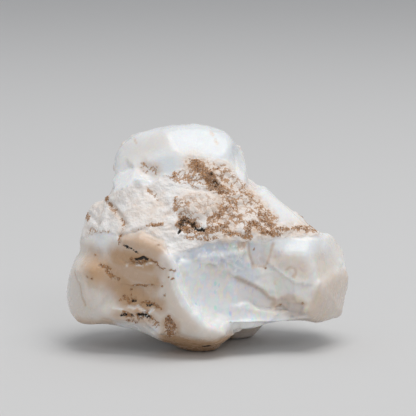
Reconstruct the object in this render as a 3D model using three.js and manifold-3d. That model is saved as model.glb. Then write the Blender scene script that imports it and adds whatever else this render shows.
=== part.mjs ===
// A rough opal specimen: one lump of common opal with a play-of-colour face, a worn white
// crown, a sloping crust in front and broken lobes to the left and right.
//
// The stone is one solid. It is built the way a lapidary reads it: blocks bounded by flat
// break faces, grown together with soft joins, then hollowed by shell-shaped fractures.
// Everything is a signed distance in millimetres (negative inside); the surface is drawn
// off that distance with a grid walk, and the underside is cut level where the stone rests.
//
// Frame: +X to the stone's right, -Y towards the crusted front, +Z up.
// Origin: the middle of the bounding box, at the level the stone rests on.

import * as THREE from 'three';
import { ConvexHull } from 'three/addons/math/ConvexHull.js';
import { ImprovedNoise } from 'three/addons/math/ImprovedNoise.js';
import { mergeVertices } from 'three/addons/utils/BufferGeometryUtils.js';
import Module from 'manifold-3d';

// ---------------------------------------------------------------------------
// Driving dimensions, millimetres
// ---------------------------------------------------------------------------

const CELL = 1.6;               // grid step of the surface walk
const MARGIN = 2.6;             // empty grid kept around the stone
const REACH = new THREE.Box3(   // space that the blocks below take up
  new THREE.Vector3(-33, -24, -3),
  new THREE.Vector3(34, 25, 50),
);

const WORN_EDGE = 0.75;         // rounding of the weathered crown's edges
const BROKEN_EDGE = 0.45;       // rounding of the fresher break edges
const SOFT_JOIN = 3.0;          // fillet where two lobes grow into each other
const TIGHT_JOIN = 2.2;         // fillet where the crown sits on the body
const SCOOP_EDGE = 1.8;         // rounding of a fracture's rim

const RIPPLE_HEIGHT = 0.28;     // unevenness of every break face
const RIPPLE_LENGTH = 7.0;

const REST_LEVEL = 0;           // the three feet are cut level here
const SAME_PLANE = 0.02;        // hull faces closer than this are one face

// ---------------------------------------------------------------------------
// Distances: blocks, scoops and how they join
// ---------------------------------------------------------------------------

// A block bounded by the flat faces of its corners' hull, its edges rounded by `wear`.
function block(corners, wear) {
  const hull = new ConvexHull().setFromPoints(corners.map((c) => new THREE.Vector3(...c)));
  const faces = [];
  for (const face of hull.faces) {
    const known = faces.some((f) => f.normal.distanceTo(face.normal) < SAME_PLANE
      && Math.abs(f.constant - face.constant) < SAME_PLANE);
    if (!known) {
      faces.push({ normal: face.normal.clone(), constant: face.constant });
    }
  }
  return (p) => {
    const heights = faces.map((f) => f.normal.dot(p) - f.constant);
    const top = Math.max(...heights);
    let sum = 0;
    for (const height of heights) {
      sum += Math.exp((height - top) / wear);
    }
    return top + wear * Math.log(sum);
  };
}

// An ellipsoid, as the hollow that a shell-shaped fracture leaves.
function scoop(centre, radii) {
  const middle = new THREE.Vector3(...centre);
  const size = new THREE.Vector3(...radii);
  const mean = (radii[0] + radii[1] + radii[2]) / radii.length;
  return (p) => (p.clone().sub(middle).divide(size).length() - 1) * mean;
}

function join(a, b, fillet) {
  const blend = Math.max(fillet - Math.abs(a - b), 0) / fillet;
  return Math.min(a, b) - blend * blend * fillet / 4;
}

function hollow(solid, tool, rim) {
  return -join(-solid, tool, rim);
}

// ---------------------------------------------------------------------------
// The stone's blocks
// ---------------------------------------------------------------------------

// Crown: the smooth weathered block on top, with one broad front face and a bevel at its left;
// behind, it runs down into the back of the stone.
const crown = block([
  [-10.5, -3.5, 47.8], [-5, -9, 41.3], [4.8, -8, 41.3], [6.6, -3, 45.4], [4.2, -0.5, 48],
  [-4, -1, 49.2], [-11, 4, 48.6], [-5, 10, 48], [4, 8, 47],
  [-17.8, 0, 46], [-21.2, 2, 42.4], [-20.6, 3, 37], [-16, -5.5, 38.5], [-16, 10, 44],
  [9.2, 7, 41.5], [-12, -7, 34], [5, -8, 35], [9, 9, 34],
  [-20.5, 8, 35], [-15, 14, 31], [-5, 16, 31], [6, 13, 32],
], WORN_EDGE);

// Tongue: the white ramp that runs from the crown's left foot down to the shoulder.
const tongue = block([
  [-18.2, -3.6, 40.4], [-15.5, -6.5, 38.6], [-20.8, -4.4, 35.4], [-22.8, -3.5, 32.6],
  [-17, -8.8, 34.6], [-12.5, -9.8, 36.2], [-21, 1, 37.5], [-14, 2, 38], [-14, 0, 32],
], BROKEN_EDGE);

// Body: the sloping crust face from the crown's foot to the lip, the right upper face,
// the left shoulder, and the rough back.
const body = block([
  [-17.5, -8.5, 35.5], [-9, -9.5, 37.5], [0, -8.5, 40.5], [6.5, -6, 39], [8.8, 5, 39],
  [9, 10, 37], [-22.6, -1, 33.8], [-26.4, 0, 30], [-28, -2, 26], [-28.6, -3, 21.5],
  [-20, -15.5, 23.5], [-15, -18.5, 25], [-8.5, -19.5, 22.5], [-2.6, -18, 24], [7, -15.5, 26.2],
  [15, -12, 26.4], [24.5, -7, 25.6], [12.2, -4, 32.8], [13.6, 5, 32.8], [19.6, 4, 26.4],
  [-20.6, 3, 37.6], [-23.5, 9, 30], [-14, 18, 30], [-4, 20.5, 30], [8, 17.5, 31],
  [-5, 22, 21], [10, 19.5, 24], [19.5, 13, 23],
  [-24.5, 12, 15], [-9, 21.5, 11], [9, 20, 13], [21, 14, 11],
  [-20, -14, 9], [-12, -16.5, 9], [-20, 6, 6], [20, 2, 5.5], [18, -11, 8], [0, -17, 8],
], BROKEN_EDGE);

// Left lobe: the rounded cream end that hangs out past the feet.
const leftLobe = block([
  [-30, -3, 17.6], [-28.6, -10, 19], [-24, -15, 20], [-31.3, -4, 12], [-30.8, -6, 8],
  [-28.8, -9.5, 5.8], [-26.4, -10, 5.1], [-23, -11.5, 6.6], [-22, -16, 13], [-26, -14, 10],
  [-29, 6, 19.5], [-29.4, 6, 10], [-25, 12, 7.5], [-25, 12.5, 16],
  [-20, -2, 6], [-18, -12, 20], [-20, 12, 24],
], BROKEN_EDGE);

// Shelf: the broken underside of the front, between the left lobe and the keel.
const shelf = block([
  [-23, -14, 9.5], [-14, -16.5, 8.8], [-9, -17.5, 6.8], [-22.5, -10.5, 6.4],
  [-14, -11.5, 4.9], [-9.5, -10.5, 2.4], [-21, -4, 7], [-8, -4, 4], [-18, -4, 13], [-9, -8, 13],
], BROKEN_EDGE);

// Keel: the smooth bulge down the middle of the front that meets the ground. Its right edge
// is a ridge that runs down to the right, and the bowl begins there.
const keel = block([
  [-8.5, -19.6, 22], [-7.3, -20.4, 17.5], [-6.2, -21, 12.5], [-4.6, -20.8, 9], [-2.4, -20, 6.6],
  [0.8, -18.5, 4.8], [-14.5, -17.2, 16.5], [-13.5, -16, 9.5], [-9.5, -16.4, 5.4],
  [-9.8, -12, 2.8], [-6.5, -9.5, 0.2], [-2.4, -9.8, -0.9], [-4, -3, -1.2], [2.2, -8.4, -0.8],
  [4.6, -12.5, 3.2], [-9, -4, 2], [4, 0, 2], [-4, 4, 12], [2, -10, 16],
], BROKEN_EDGE);

// Bottom rim: the low ridge in front of the opal bowl, running from the keel to the right.
const rim = block([
  [0, -19.4, 6.6], [8, -18, 7.4], [16, -15.5, 8.6], [23, -12.5, 9.4],
  [3, -13, 3], [10, -12, 4.9], [17, -10, 7], [24, -7, 8],
  [0, -6, 10], [10, -2, 12], [20, 0, 12],
], BROKEN_EDGE);

// Right lobe: the blunt end with a ridge down its front corner.
const rightLobe = block([
  [24.4, -7.5, 25.6], [27.8, -1, 25.4], [31.2, 2, 21], [32.2, 1, 16.2], [32.2, 0, 11],
  [30.8, -2, 5.2], [28.8, -5, 5], [22, -8, 6],
  [15, -13.5, 21.5], [22, -13, 22], [25.4, -13, 14.5], [21.8, -13.5, 8], [29, -8, 8.5],
  [30.5, 6, 17], [30.5, 6, 10.5], [26.5, 11.5, 20], [27.5, 11, 9], [26.5, 5, 4.8],
  [20, 15, 13], [19, 14, 22], [14, -4, 9],
], BROKEN_EDGE);

// Heel: the blunt underside at the back, which the stone rests on together with the keel.
const heel = block([
  [4.5, 2.5, 1.6], [8, 3.6, -1], [10.8, 7, -1.1], [6, 10, -1.4], [14, 8, 4],
  [19, 10, 11], [12, 17, 13], [-6, 17.5, -1.3], [-11, 16.5, -1.2], [-12.5, 12.5, -1], [-6, 11, -1.4],
  [-17, 15, 9], [-20, 10, 10], [-5, 20.5, 14], [-12, 3, 5], [0, -2, 4], [14, 0, 7],
  [0, 10, 16],
], BROKEN_EDGE);

// ---------------------------------------------------------------------------
// The stone's hollows
// ---------------------------------------------------------------------------

const hollows = [
  scoop([-18, -40, 13.5], [13, 25, 8.5]),         // amber hollow between left lobe and keel
  scoop([4.5, -36, 15], [15, 21.5, 11]),          // bowl with the play of colour
  scoop([14, -34, 15.5], [9, 21.5, 8]),           // break right of the bowl
  scoop([-13, -13.5, 38.5], [3, 5, 2.4]),         // pocket under the crown's bevel
  scoop([0.5, 11, -3.4], [6, 8, 4.6]),            // hollow under the heel
  scoop([12, 42, 31], [19, 24, 15]),              // shell-shaped break high on the back
  scoop([-23, 37, 19], [19, 22, 13]),             // break on the back's left
  scoop([27, 31, 12], [16, 19, 15]),              // break at the back of the right lobe
];

// ---------------------------------------------------------------------------
// The whole stone as one distance
// ---------------------------------------------------------------------------

const ripples = new ImprovedNoise();

function stone(p) {
  let d = body(p);
  d = join(d, crown(p), TIGHT_JOIN);
  d = join(d, tongue(p), TIGHT_JOIN);
  for (const lobe of [leftLobe, shelf, keel, rim, rightLobe, heel]) {
    d = join(d, lobe(p), SOFT_JOIN);
  }
  for (const tool of hollows) {
    d = hollow(d, tool(p), SCOOP_EDGE);
  }
  const q = p.clone().divideScalar(RIPPLE_LENGTH);
  return d + RIPPLE_HEIGHT * ripples.noise(q.x, q.y, q.z);
}

// ---------------------------------------------------------------------------
// Surface: one vertex per crossed grid cell, pulled on to the stone, quads between them
// ---------------------------------------------------------------------------

const GRADIENT_STEP = 0.05;
const PULLS = 4;                // times each vertex is moved on to the surface

function slope(p) {
  const dx = new THREE.Vector3(GRADIENT_STEP, 0, 0);
  const dy = new THREE.Vector3(0, GRADIENT_STEP, 0);
  const dz = new THREE.Vector3(0, 0, GRADIENT_STEP);
  return new THREE.Vector3(
    stone(p.clone().add(dx)) - stone(p.clone().sub(dx)),
    stone(p.clone().add(dy)) - stone(p.clone().sub(dy)),
    stone(p.clone().add(dz)) - stone(p.clone().sub(dz)),
  ).divideScalar(2 * GRADIENT_STEP);
}

function surface(space, cell) {
  const low = space.min.clone().subScalar(MARGIN);
  const span = space.getSize(new THREE.Vector3()).addScalar(2 * MARGIN);
  const count = span.divideScalar(cell).ceil();
  const row = count.x + 1;
  const layer = row * (count.y + 1);
  const at = (i, j, k) => i + j * row + k * layer;
  const point = (i, j, k) => new THREE.Vector3(i, j, k).multiplyScalar(cell).add(low);

  const value = new Float64Array(layer * (count.z + 1));
  for (let k = 0; k <= count.z; k += 1) {
    for (let j = 0; j <= count.y; j += 1) {
      for (let i = 0; i <= count.x; i += 1) {
        value[at(i, j, k)] = stone(point(i, j, k));
      }
    }
  }

  const positions = [];
  const vertexOf = new Map();

  // The vertex of one cell: the mean of its crossed edges, pulled along the slope.
  function cellVertex(i, j, k) {
    const key = at(i, j, k);
    if (vertexOf.has(key)) {
      return vertexOf.get(key);
    }
    const sum = new THREE.Vector3();
    let crossings = 0;
    for (let axis = 0; axis < 3; axis += 1) {
      for (let a = 0; a < 2; a += 1) {
        for (let b = 0; b < 2; b += 1) {
          const from = [i, j, k];
          from[(axis + 1) % 3] += a;
          from[(axis + 2) % 3] += b;
          const to = [...from];
          to[axis] += 1;
          const start = value[at(...from)];
          const end = value[at(...to)];
          if (start < 0 !== end < 0) {
            sum.add(point(...from).lerp(point(...to), start / (start - end)));
            crossings += 1;
          }
        }
      }
    }
    const vertex = sum.divideScalar(crossings);
    const home = vertex.clone();
    for (let n = 0; n < PULLS; n += 1) {
      const g = slope(vertex);
      vertex.addScaledVector(g, -stone(vertex) / Math.max(g.lengthSq(), 0.25));
    }
    if (vertex.distanceTo(home) > cell / 2) {
      vertex.sub(home).setLength(cell / 2).add(home);
    }
    const index = positions.length / 3;
    positions.push(vertex.x, vertex.y, vertex.z);
    vertexOf.set(key, index);
    return index;
  }

  // Each crossed grid edge is closed by the four cells around it.
  const triangles = [];
  for (let k = 1; k < count.z; k += 1) {
    for (let j = 1; j < count.y; j += 1) {
      for (let i = 1; i < count.x; i += 1) {
        const here = value[at(i, j, k)] < 0;
        for (let axis = 0; axis < 3; axis += 1) {
          const next = [i, j, k];
          next[axis] += 1;
          if (here === value[at(...next)] < 0) {
            continue;
          }
          const ring = [[-1, -1], [0, -1], [0, 0], [-1, 0]].map(([a, b]) => {
            const c = [i, j, k];
            c[(axis + 1) % 3] += a;
            c[(axis + 2) % 3] += b;
            return cellVertex(...c);
          });
          if (!here) {
            ring.reverse();
          }
          triangles.push(ring[0], ring[1], ring[2], ring[0], ring[2], ring[3]);
        }
      }
    }
  }
  const geometry = new THREE.BufferGeometry();
  geometry.setAttribute('position', new THREE.Float32BufferAttribute(positions, 3));
  geometry.setIndex(triangles);
  return geometry;
}

// ---------------------------------------------------------------------------
// Level feet: everything below the rest level is cut away
// ---------------------------------------------------------------------------

const wasm = await Module();
wasm.setup();

function toSolid(geometry) {
  const clean = geometry.clone();
  clean.deleteAttribute('normal');
  clean.deleteAttribute('uv');
  const merged = mergeVertices(clean);
  return new wasm.Manifold(new wasm.Mesh({
    numProp: 3,
    vertProperties: new Float32Array(merged.attributes.position.array),
    triVerts: new Uint32Array(merged.index.array),
  }));
}

function toGeometry(solid) {
  const mesh = solid.getMesh();
  const geometry = new THREE.BufferGeometry();
  geometry.setAttribute('position', new THREE.BufferAttribute(mesh.vertProperties, 3));
  geometry.setIndex(new THREE.BufferAttribute(mesh.triVerts, 1));
  return geometry;
}

const GROUND_DEPTH = 20;
const groundSize = REACH.getSize(new THREE.Vector3()).multiplyScalar(2);
const ground = new THREE.BoxGeometry(groundSize.x, groundSize.y, GROUND_DEPTH);
ground.translate(0, 0, REST_LEVEL - GROUND_DEPTH / 2);

const opalGeometry = toGeometry(toSolid(surface(REACH, CELL)).subtract(toSolid(ground)));
opalGeometry.computeBoundingBox();
const middle = opalGeometry.boundingBox.getCenter(new THREE.Vector3());
opalGeometry.translate(-middle.x, -middle.y, 0);
opalGeometry.computeVertexNormals();

const opal = new THREE.Mesh(
  opalGeometry,
  new THREE.MeshStandardMaterial({ color: 0xe9e5e2, roughness: 0.42, metalness: 0 }),
);
opal.name = 'rough_opal';

const specimen = new THREE.Group();
specimen.add(opal);

export default specimen;
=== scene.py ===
# A rough opal specimen at rest on a pale floor: one stone, its loose soil grains and the studio.
import math

import bmesh
import bpy
import numpy as np
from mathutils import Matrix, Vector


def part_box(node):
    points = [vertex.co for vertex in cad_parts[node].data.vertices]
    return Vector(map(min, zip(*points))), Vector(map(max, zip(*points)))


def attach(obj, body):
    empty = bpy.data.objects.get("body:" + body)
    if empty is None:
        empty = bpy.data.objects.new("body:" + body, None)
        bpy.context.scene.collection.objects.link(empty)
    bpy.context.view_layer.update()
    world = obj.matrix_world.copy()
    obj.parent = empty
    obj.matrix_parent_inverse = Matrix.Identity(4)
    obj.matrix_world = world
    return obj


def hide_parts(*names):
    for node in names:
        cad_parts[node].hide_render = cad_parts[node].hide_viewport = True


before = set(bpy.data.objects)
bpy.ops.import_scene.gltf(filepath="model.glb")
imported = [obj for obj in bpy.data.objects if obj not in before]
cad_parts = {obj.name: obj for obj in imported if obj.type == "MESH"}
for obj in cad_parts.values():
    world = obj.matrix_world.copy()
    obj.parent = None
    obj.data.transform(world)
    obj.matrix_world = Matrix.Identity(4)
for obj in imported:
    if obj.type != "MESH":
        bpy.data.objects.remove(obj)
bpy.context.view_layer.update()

# ---------------------------------------------------------------------------
# The studio: a pale seamless floor, one broad soft light overhead, one weak light in
# front, and a long lens a little above the stone, looking straight at its crusted face.
# ---------------------------------------------------------------------------

low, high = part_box("rough_opal")
WIDTH = high[0] - low[0]
GROUND = low[2]

CAMERA_DISTANCE = 0.45
CAMERA_ELEVATION = math.radians(8)
AIM_HEIGHT = 0.030
LENS = 177


def place_camera():
    lens = bpy.data.cameras.new("camera")
    lens.lens = LENS
    lens.clip_start = 0.01
    camera = bpy.data.objects.new("camera", lens)
    bpy.context.scene.collection.objects.link(camera)
    camera.location = (
        0,
        -CAMERA_DISTANCE * math.cos(CAMERA_ELEVATION),
        AIM_HEIGHT + CAMERA_DISTANCE * math.sin(CAMERA_ELEVATION),
    )
    camera.rotation_euler = (math.pi / 2 - CAMERA_ELEVATION, 0, 0)
    bpy.context.scene.camera = camera


def soft_light(name, place, aim, size, watts, colour):
    lamp = bpy.data.lights.new(name, "AREA")
    lamp.shape = "SQUARE"
    lamp.size = size
    lamp.energy = watts
    lamp.color = colour
    light = bpy.data.objects.new(name, lamp)
    bpy.context.scene.collection.objects.link(light)
    light.location = place
    way = [a - p for a, p in zip(aim, place)]
    flat = math.hypot(way[0], way[1])
    light.rotation_euler = (math.atan2(flat, -way[2]), 0, math.atan2(-way[0], way[1]))


def plain_material(name, colour, roughness):
    material = bpy.data.materials.new(name)
    material.use_nodes = True
    shader = material.node_tree.nodes["Principled BSDF"]
    shader.inputs["Base Color"].default_value = (*colour, 1)
    shader.inputs["Roughness"].default_value = roughness
    return material


def lay_floor():
    side = 3.0
    mesh = bpy.data.meshes.new("floor")
    mesh.from_pydata(
        [(-side, -side, GROUND), (side, -side, GROUND), (side, side, GROUND), (-side, side, GROUND)],
        [],
        [(0, 1, 2, 3)],
    )
    mesh.materials.append(plain_material("floor_paper", (0.62, 0.62, 0.62), 0.9))
    floor = bpy.data.objects.new("floor", mesh)
    bpy.context.scene.collection.objects.link(floor)


place_camera()
lay_floor()
soft_light("overhead", (0.26, -0.14, 1.46), (0, 0, 0.02), 1.0, 11.6, (1.0, 0.99, 0.975))
soft_light("front", (0.6, -1.2, 1.0), (0, 0, 0.02), 0.45, 2.6, (0.97, 0.985, 1.0))

world = bpy.data.worlds.new("studio")
world.use_nodes = True
world.node_tree.nodes["Background"].inputs["Color"].default_value = (0.82, 0.83, 0.85, 1)
world.node_tree.nodes["Background"].inputs["Strength"].default_value = 0.6
bpy.context.scene.world = world
bpy.context.scene.view_settings.view_transform = "Standard"

# ---------------------------------------------------------------------------
# The stone's body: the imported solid's own shape, copied, rounded off between its grid
# facets and cut up finely enough to carve. The carving works on `rock`, the points of that
# skin in millimetres, and `facing`, the way each point looks.
# ---------------------------------------------------------------------------

STONE_WIDTH = 62.05
MM = WIDTH / STONE_WIDTH
SKIN_STEP = 0.34 * MM


def fine_skin():
    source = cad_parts["rough_opal"]
    draft = bpy.data.objects.new("draft", source.data.copy())
    bpy.context.scene.collection.objects.link(draft)
    weld = draft.modifiers.new("weld", "WELD")
    weld.merge_threshold = 0.001 * MM
    rounding = draft.modifiers.new("rounding", "SUBSURF")
    rounding.levels = 2
    rounding.render_levels = 2
    remesh = draft.modifiers.new("remesh", "REMESH")
    remesh.mode = "VOXEL"
    remesh.voxel_size = SKIN_STEP
    seen = draft.evaluated_get(bpy.context.evaluated_depsgraph_get())
    mesh = bpy.data.meshes.new_from_object(seen)
    bpy.data.objects.remove(draft)
    mesh.name = "opal_stone"
    return mesh


skin = fine_skin()
count = len(skin.vertices)
rock = np.empty(count * 3, np.float64)
skin.vertices.foreach_get("co", rock)
rock = rock.reshape(-1, 3) / MM

edges = np.empty(len(skin.edges) * 2, np.int64)
skin.edges.foreach_get("vertices", edges)
edges = edges.reshape(-1, 2)
neighbours = np.bincount(edges.ravel(), minlength=count)[:, None]

corner_count = len(skin.loops)
quads = np.empty(corner_count, np.int64)
skin.loops.foreach_get("vertex_index", quads)
quads = quads.reshape(-1, 4)


def mean_of_neighbours(values):
    total = np.zeros_like(values)
    for column in range(values.shape[1]):
        total[:, column] = np.bincount(edges[:, 0], values[edges[:, 1], column], count)
        total[:, column] += np.bincount(edges[:, 1], values[edges[:, 0], column], count)
    return total / neighbours


def relax(values, passes, share=0.5):
    for _ in range(passes):
        values = values + share * (mean_of_neighbours(values) - values)
    return values


def look_again():
    """Works out afresh which way each point of the skin looks."""
    global facing
    first, second, third, fourth = (rock[quads[:, side]] for side in range(4))
    turned = np.cross(third - first, fourth - second)
    facing = np.zeros_like(rock)
    for side in range(4):
        for axis in range(3):
            facing[:, axis] += np.bincount(quads[:, side], turned[:, axis], count)
    facing = relax(facing, 2)
    facing /= np.linalg.norm(facing, axis=1, keepdims=True)


rock = relax(rock, 4)
facing = rock
look_again()

# ---------------------------------------------------------------------------
# Crown: the weathered top of the stone, white opal worn smooth. A broad front face, a creamy
# bevel to its left and a small pale face under the bevel, with a saddle at each side.
# Places on the front are given in millimetres: right of the stone's middle, above the ground.
# ---------------------------------------------------------------------------


def ease(values, start, end):
    """0 before start, 1 after end, and a smooth change between them."""
    share = np.clip((values - start) / (end - start), 0, 1)
    return share * share * (3 - 2 * share)


def scatter(cell, seed):
    """One repeatable random number from 0 to 1 for each whole-numbered cell."""
    mixed = cell[:, 0] * 73856093 ^ cell[:, 1] * 19349663 ^ cell[:, 2] * 83492791 ^ seed * 40503
    for _ in range(2):
        mixed = ((mixed ^ (mixed >> 15)) * 2246822519) & 0xFFFFFFFF
    return ((mixed ^ (mixed >> 13)) & 0xFFFFFF) / 0xFFFFFF


def swell(points, size, seed):
    """Smooth unevenness from -1 to 1 that changes over about `size` millimetres."""
    spot = points / size
    cell = np.floor(spot).astype(np.int64)
    part = spot - cell
    part = part * part * (3 - 2 * part)
    total = np.zeros(len(points))
    for corner in np.ndindex(2, 2, 2):
        weight = np.prod(np.where(np.array(corner) == 1, part, 1 - part), axis=1)
        total += weight * scatter(cell + corner, seed)
    return 2 * total - 1


def rough(points, size, seed, layers=3):
    """Swells on swells, each half the size and half the height of the last."""
    total = np.zeros(len(points))
    for layer in range(layers):
        total += swell(points + 7.3 * layer, size / 2 ** layer, seed + layer) / 2 ** layer
    return total / (2 - 2 ** (1 - layers))


wobble = 0.32 * np.stack([rough(rock, 1.6, 61), rough(rock, 1.6, 62)], axis=1)


def to_line(spots):
    """Distance on the front from a broken line through some places, and which side of it:
    +1 above it, or left of it where it runs down."""
    flat = rock[:, (0, 2)] + wobble
    spots = np.array(spots, float)
    if len(spots) == 1:
        return np.linalg.norm(flat - spots[0], axis=1), np.ones(count)
    best = np.full(count, 1e9)
    side = np.ones(count)
    for start, end in zip(spots[:-1], spots[1:]):
        way = end - start
        lead = flat - start
        along = np.clip(lead @ way / (way @ way), 0, 1)
        gap = np.linalg.norm(lead - along[:, None] * way, axis=1)
        cross = way[0] * lead[:, 1] - way[1] * lead[:, 0]
        side = np.where(gap < best, np.sign(cross), side)
        best = np.minimum(best, gap)
    return best, side


def inside(spots):
    """Distance on the front inside an outline; negative outside it."""
    flat = rock[:, (0, 2)] + wobble
    spots = np.array(spots, float)
    within = np.zeros(count, bool)
    for start, end in zip(spots, np.roll(spots, -1, axis=0)):
        spans = (start[1] > flat[:, 1]) != (end[1] > flat[:, 1])
        rise = end[1] - start[1] or 1e-9
        within ^= spans & (flat[:, 0] < start[0] + (flat[:, 1] - start[1]) / rise * (end[0] - start[0]))
    gap, _ = to_line(np.vstack([spots, spots[:1]]))
    return np.where(within, gap, -gap)


in_front = ease(-facing[:, 1], -0.3, 0.1) * (rock[:, 1] < 6)


def stroke(spots, width, fade, waver=0.0):
    """A mark along a line: 1 within `width` of it, fading to 0 over `fade` more."""
    gap, _ = to_line(spots)
    return in_front * (1 - ease(gap + waver, width, width + fade))


def patch(spots, fade, waver=0.0):
    """A mark that fills an outline, its edge `fade` wide."""
    return in_front * ease(inside(spots) + waver, -fade / 2, fade / 2)


def push(amount):
    """Moves the skin out by so many millimetres, or in where that is negative."""
    global rock
    rock = rock + amount[:, None] * facing


def face(spots, fade=0.5, turn=(0, 0, 0), sink=0.0, share=1.0):
    """Leaves a flat break inside an outline: the mean plane there, leant over by `turn`
    and set in by `sink`."""
    global rock
    weight = patch(spots, fade)
    chosen = weight > 0.5
    middle = rock[chosen].mean(axis=0)
    axes = np.linalg.svd(rock[chosen] - middle, full_matrices=False)[2]
    way = axes[2] if axes[2][1] < 0 else -axes[2]
    way = way + np.array(turn)
    way /= np.linalg.norm(way)
    height = (rock - middle) @ way + sink
    near = np.exp(-(height / 3.0) ** 4)
    rock = rock - (weight * near * share * height)[:, None] * way


paint = {}


def colour_in(name, mark):
    """Lays a mark over one of the stone's paints, which its material reads by name."""
    paint[name] = np.maximum(paint.get(name, np.zeros(count)), mark)


SADDLES = [((10.6, 36.8), 3.0, 1.5), ((-22.6, 36.4), 3.4, 1.3), ((-24.8, 34.8), 4.2, 2.6)]
for (across, up), reach, depth in SADDLES:
    gap = np.hypot(rock[:, 0] - across, rock[:, 2] - up)
    push(-depth * (1 - ease(gap, 0.3 * reach, reach)))
crown_right = np.hypot(rock[:, 0] - 7.2, rock[:, 2] - 39.4)
push(0.5 * (1 - ease(crown_right, 0.6, 3.0)))

FRONT_FACE = [(-9.6, 47.0), (-5.2, 42.0), (3.8, 42.2), (5.0, 44.6), (3.8, 46.8), (-3.0, 48.2)]
BEVEL = [
    (-20.4, 38.5), (-19.6, 43.0), (-16.0, 46.4), (-9.6, 47.0), (-6.4, 43.2), (-11.5, 41.8),
    (-15.5, 41.2),
]
PALE_FACE = [(-11.2, 42.4), (-5.2, 42.0), (-4.4, 40.4), (-8.6, 38.9), (-10.6, 39.2)]
push(0.8 * stroke([(-13.5, 39.4), (-8.0, 39.8)], 1.4, 3.0))
look_again()
face(FRONT_FACE, 1.8, share=0.7)
face(BEVEL, 2.4, turn=(0.05, 0, 0.05), share=0.6)
face(PALE_FACE, 1.6, turn=(0.0, 0.0, 0.10), share=0.5)
TONGUE = [
    (-21.6, 37.4), (-18.2, 40.8), (-16.2, 39.8), (-15.6, 37.6), (-12.6, 37.2), (-16.0, 36.0),
    (-20.2, 34.8),
]
face(TONGUE, 0.9, turn=(-0.05, 0, 0.32), share=0.85)
push(-0.40 * stroke([(1.4, 48.4), (4.8, 47.4)], 0.7, 0.9))
push(-0.35 * stroke([(-14.4, 40.2), (-12.2, 38.8)], 0.5, 1.6))
for crease in (
    [(5.6, 43.4), (6.0, 41.0), (6.1, 38.6)],
    [(-18.9, 38.3), (-16.5, 39.7)],
    [(-15.9, 37.8), (-16.6, 36.5)],
):
    push(-0.16 * stroke(crease, 0.1, 0.35))

# The upper crown and the pale face are painted a darker bluish white: painted shade that tones down the tops
# facing the overhead light.
colour_in("frost_and_shade", ease(rock[:, 2], 40.0, 42.5) * (1 - 0.8 * patch(BEVEL, 3.0)))
colour_in("frost_and_shade", patch(PALE_FACE, 0.8))
colour_in("milk", patch(TONGUE, 0.8))
colour_in("cream_and_shade", 0.12 * patch(BEVEL, 3.0))
colour_in("amber_and_shade", 0.08 * stroke([(-18.0, 44.0), (-14.0, 43.0), (-10.0, 46.0)], 0.5, 2.0))
for spots in ([(0.6, 46.8), (1.0, 46.2)], [(1.6, 45.4), (2.0, 44.8)], [(-16.2, 45.2), (-15.6, 44.6)]):
    colour_in("dust", 0.7 * stroke(spots, 0.05, 0.45))

# ---------------------------------------------------------------------------
# Crust: the sloping rind in front, a pinkish, chalky skin of small crumbs that stands a
# little proud of the clean opal, ends in a ragged lip, and holds brown soil between its crumbs.
# ---------------------------------------------------------------------------


def crumbs(points, size, seed):
    """Pebbly cells about `size` across. For each point: the distance from its cell's middle
    and from the cell's edge, in sizes, and a random number that belongs to the cell."""
    bent = points + 0.25 * size * np.stack(
        [swell(points, size, seed + 5 + axis) for axis in range(3)], axis=1
    )
    spot = bent / size
    home = np.floor(spot).astype(np.int64)
    near = np.full(len(points), 9.0)
    second = near.copy()
    pick = np.zeros(len(points))
    for step in np.ndindex(3, 3, 3):
        cell = home + np.array(step) - 1
        seat = np.stack([scatter(cell, seed + axis) for axis in range(3)], axis=1)
        gap = np.linalg.norm(cell + seat - spot, axis=1)
        closer = gap < near
        second = np.where(closer, near, np.minimum(second, gap))
        near = np.where(closer, gap, near)
        pick = np.where(closer, scatter(cell, seed + 3), pick)
    return near, second - near, pick


def terraces(points, size, seed, steps=4.0):
    """Steps such as a shell-shaped break leaves: gentle slopes from 0 to -1, each ended by a
    small sharp rise back to 0."""
    climb = steps * rough(points, size, seed, 2)
    part = climb - np.floor(climb)
    return ease(part, 0.7, 1.0) - part


look_again()
CRUST = [
    (-16.6, 36.2), (-11.8, 36.9), (-8.6, 38.4), (-5.2, 40.0), (-4.7, 41.7), (0.9, 41.8), (4.2, 41.6),
    (6.1, 38.9), (8.4, 35.6), (11.6, 33.4), (13.0, 31.2), (14.9, 29.4), (15.4, 27.8), (23.6, 26.8),
    (26.3, 24.9), (22.0, 25.3), (17.6, 25.3), (13.7, 25.1), (11.5, 24.9), (9.0, 24.8), (5.5, 25.3),
    (3.0, 25.0), (1.3, 24.7), (-1.7, 24.3), (-3.8, 23.8), (-5.9, 23.0), (-8.0, 22.9), (-8.5, 24.5),
    (-10.2, 26.0), (-12.3, 27.2), (-14.2, 28.0), (-16.6, 27.2), (-18.5, 26.4), (-21.5, 26.2),
    (-24.4, 25.6), (-29.0, 23.6), (-29.0, 27.5), (-26.5, 31.5), (-22.6, 34.6), (-19.6, 34.8),
]
waver = 0.5 * rough(rock, 1.6, 11)
crust = patch(CRUST, 0.5, 1.5 * waver + 0.3 * rough(rock, 0.9, 19))
crust_middle = patch(CRUST, 4.0, waver)

_, plate_edge, plate_pick = crumbs(rock, 4.2, 12)
_, chunk_edge, chunk_pick = crumbs(rock * (1.0, 1.0, 1.35), 1.9, 13)
_, crumb_edge, crumb_pick = crumbs(rock, 1.0, 14)

push(crust * 0.15 + crust_middle * 0.55 * rough(rock, 6.0, 15))
push(crust_middle * 0.90 * (plate_pick - 0.5) * ease(plate_edge, 0.0, 0.22))
push(crust * 0.26 * terraces(rock * (0.7, 1.0, 1.3), 3.6, 51))
left = ease(-rock[:, 0], 6.0, 13.0)
push(crust * (1 - 0.65 * left) * 0.46 * (chunk_pick - 0.4) * ease(chunk_edge, 0.0, 0.3))

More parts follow.
